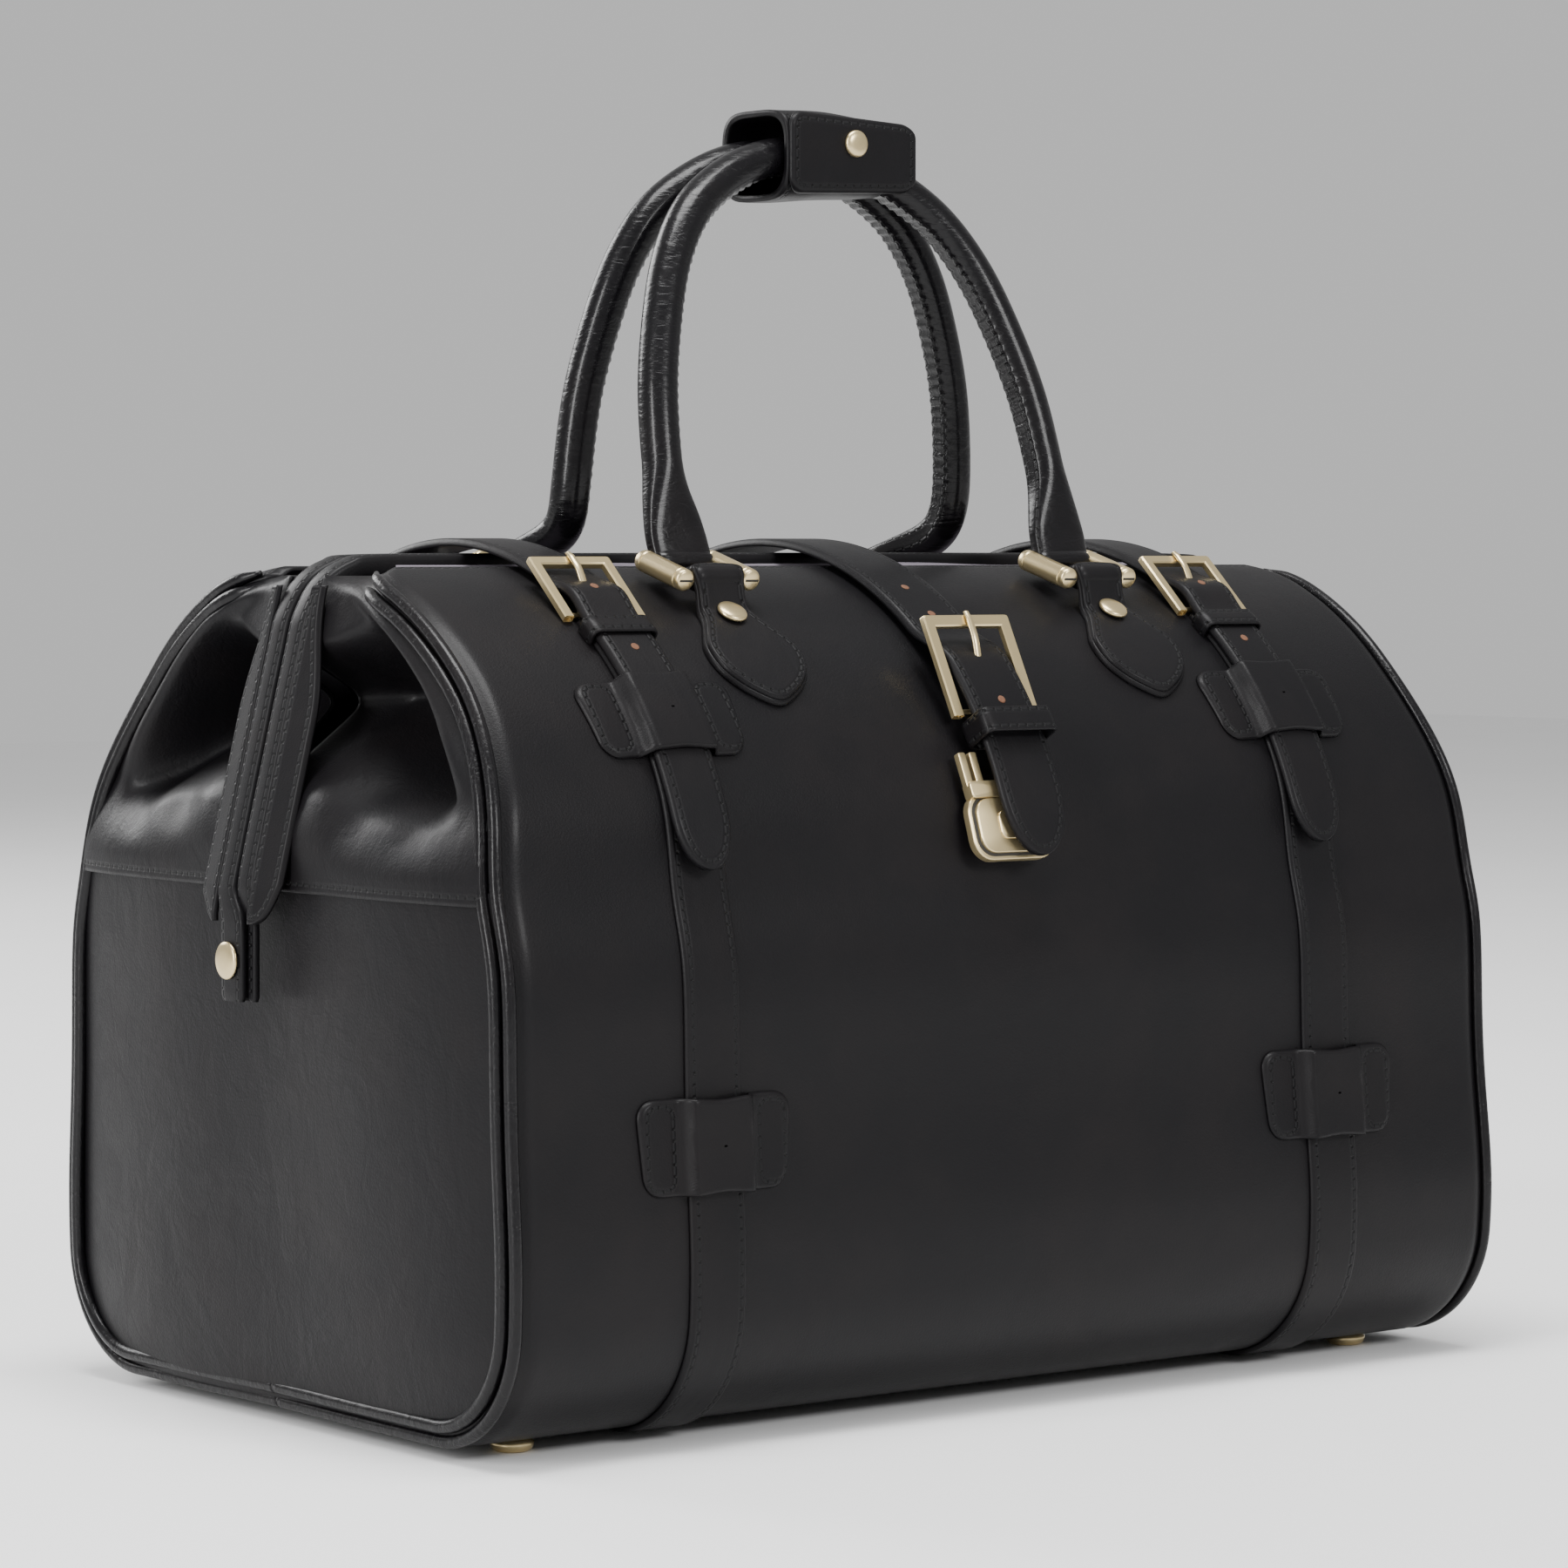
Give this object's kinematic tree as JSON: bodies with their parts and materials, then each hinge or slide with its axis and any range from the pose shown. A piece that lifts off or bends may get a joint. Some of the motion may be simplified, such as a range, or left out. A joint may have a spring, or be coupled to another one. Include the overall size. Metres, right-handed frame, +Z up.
{
  "type": "doctor bag",
  "caption": "Long leather doctor bag with hinged mouth frames, twin rolled handles on rings, two side straps with buckles, and a centre strap with a lock.",
  "frame": {"origin": "on the ground, under the middle of the bag", "axes": "+X along the bag's length, to the right as seen from the front; front is -Y; +Z up"},
  "size_m": [0.5258, 0.3104, 0.498],
  "materials": {
    "panel_leather": "fine grain, satin",
    "gusset_leather": "glossy, creased",
    "piping_leather": "glossy, edge worn",
    "strap_leather": "smooth, satin, stitched",
    "handle_leather": "glossy, wrinkled",
    "lining": "plain cotton",
    "board": "grey board",
    "frame_steel": "bare steel",
    "brass": "satin antique brass"
  },
  "bodies": {
    "root": {"front_panel_lower": "panel_leather", "rear_panel_lower": "panel_leather", "front_panel_fold": "panel_leather", "rear_panel_fold": "panel_leather", "left_gusset_lower": "gusset_leather", "right_gusset_lower": "gusset_leather", "lower_piping": "piping_leather", "base_board": "board", "body_lining": "lining", "feet": "brass", "hinge_rivets": "brass", "left_lower_strap": "strap_leather", "right_lower_strap": "strap_leather", "lower_loops": "strap_leather"},
    "front_frame": {"front_panel_upper": "panel_leather", "front_mouth_lining": "lining", "front_left_gusset_upper": "gusset_leather", "front_right_gusset_upper": "gusset_leather", "front_piping_upper": "piping_leather", "front_frame_steel": "frame_steel", "front_frame_cover": "gusset_leather", "left_chape": "strap_leather", "right_chape": "strap_leather", "upper_loops": "strap_leather", "side_keepers": "strap_leather", "front_tabs": "strap_leather", "front_tab_rivets": "brass", "lock_plate_back": "brass", "lock_body": "brass"},
    "rear_frame": {"rear_panel_upper": "panel_leather", "rear_mouth_lining": "lining", "rear_left_gusset_upper": "gusset_leather", "rear_right_gusset_upper": "gusset_leather", "rear_piping_upper": "piping_leather", "rear_frame_steel": "frame_steel", "rear_frame_cover": "gusset_leather", "rear_strap_ends": "strap_leather", "rear_tabs": "strap_leather", "rear_tab_rivets": "brass", "left_strap": "strap_leather", "right_strap": "strap_leather", "centre_strap": "strap_leather", "centre_chape": "strap_leather", "centre_keeper": "strap_leather", "lock_hasp": "brass"},
    "left_buckle": {"left_buckle_frame": "brass"},
    "left_prong": {"left_buckle_prong": "brass"},
    "right_buckle": {"right_buckle_frame": "brass"},
    "right_prong": {"right_buckle_prong": "brass"},
    "centre_buckle": {"centre_buckle_frame": "brass"},
    "centre_prong": {"centre_buckle_prong": "brass"},
    "lock_button": {"lock_button": "brass"},
    "front_rings": {"front_rings": "brass"},
    "rear_rings": {"rear_rings": "brass"},
    "front_handle": {"front_handle": "handle_leather", "handle_wrap": "handle_leather", "wrap_snap": "brass"},
    "rear_handle": {"rear_handle": "handle_leather"}
  },
  "joints": [
    {"name": "front_mouth", "type": "hinge", "parent": "root", "child": "front_frame", "pos_m": [0, 0, 0.173], "axis": [1, 0, 0], "range_deg": [0, 26], "deforming": ["front_panel_fold"]},
    {"name": "rear_mouth", "type": "hinge", "parent": "root", "child": "rear_frame", "pos_m": [0, 0, 0.173], "axis": [-1, 0, 0], "range_deg": [0, 26], "deforming": ["rear_panel_fold", "left_strap", "right_strap", "centre_strap"]},
    {"name": "front_ring_swing", "type": "hinge", "parent": "front_frame", "child": "front_rings", "pos_m": [0, -0.07671, 0.31341], "axis": [1, 0, 0], "range_deg": [0, 60]},
    {"name": "rear_ring_swing", "type": "hinge", "parent": "rear_frame", "child": "rear_rings", "pos_m": [0, 0.07671, 0.31341], "axis": [-1, 0, 0], "range_deg": [0, 60]},
    {"name": "front_handle_swing", "type": "hinge", "parent": "front_rings", "child": "front_handle", "pos_m": [0, -0.05691, 0.31909], "axis": [1, 0, 0], "range_deg": [0, 75]},
    {"name": "rear_handle_swing", "type": "hinge", "parent": "rear_rings", "child": "rear_handle", "pos_m": [0, 0.05691, 0.31909], "axis": [-1, 0, 0], "range_deg": [0, 75], "deforming": ["handle_wrap"]},
    {"name": "left_buckle_swing", "type": "hinge", "parent": "front_frame", "child": "left_buckle", "pos_m": [0, -0.08238, 0.29985], "axis": [1, 0, 0], "range_deg": [0, 40]},
    {"name": "left_prong_swing", "type": "hinge", "parent": "left_buckle", "child": "left_prong", "pos_m": [0, -0.08238, 0.29985], "axis": [1, 0, 0], "range_deg": [0, 60]},
    {"name": "right_buckle_swing", "type": "hinge", "parent": "front_frame", "child": "right_buckle", "pos_m": [0, -0.08238, 0.29985], "axis": [1, 0, 0], "range_deg": [0, 40]},
    {"name": "right_prong_swing", "type": "hinge", "parent": "right_buckle", "child": "right_prong", "pos_m": [0, -0.08238, 0.29985], "axis": [1, 0, 0], "range_deg": [0, 60]},
    {"name": "centre_buckle_swing", "type": "hinge", "parent": "rear_frame", "child": "centre_buckle", "pos_m": [0, -0.12883, 0.2649], "axis": [1, 0, 0], "range_deg": [0, 40]},
    {"name": "centre_prong_swing", "type": "hinge", "parent": "centre_buckle", "child": "centre_prong", "pos_m": [0, -0.12883, 0.2649], "axis": [1, 0, 0], "range_deg": [0, 60]},
    {"name": "lock_press", "type": "slide", "parent": "front_frame", "child": "lock_button", "axis": [0, 0.9511, -0.309], "range_m": [0, 0.0015], "stiffness_N_per_m": 300}
  ]
}
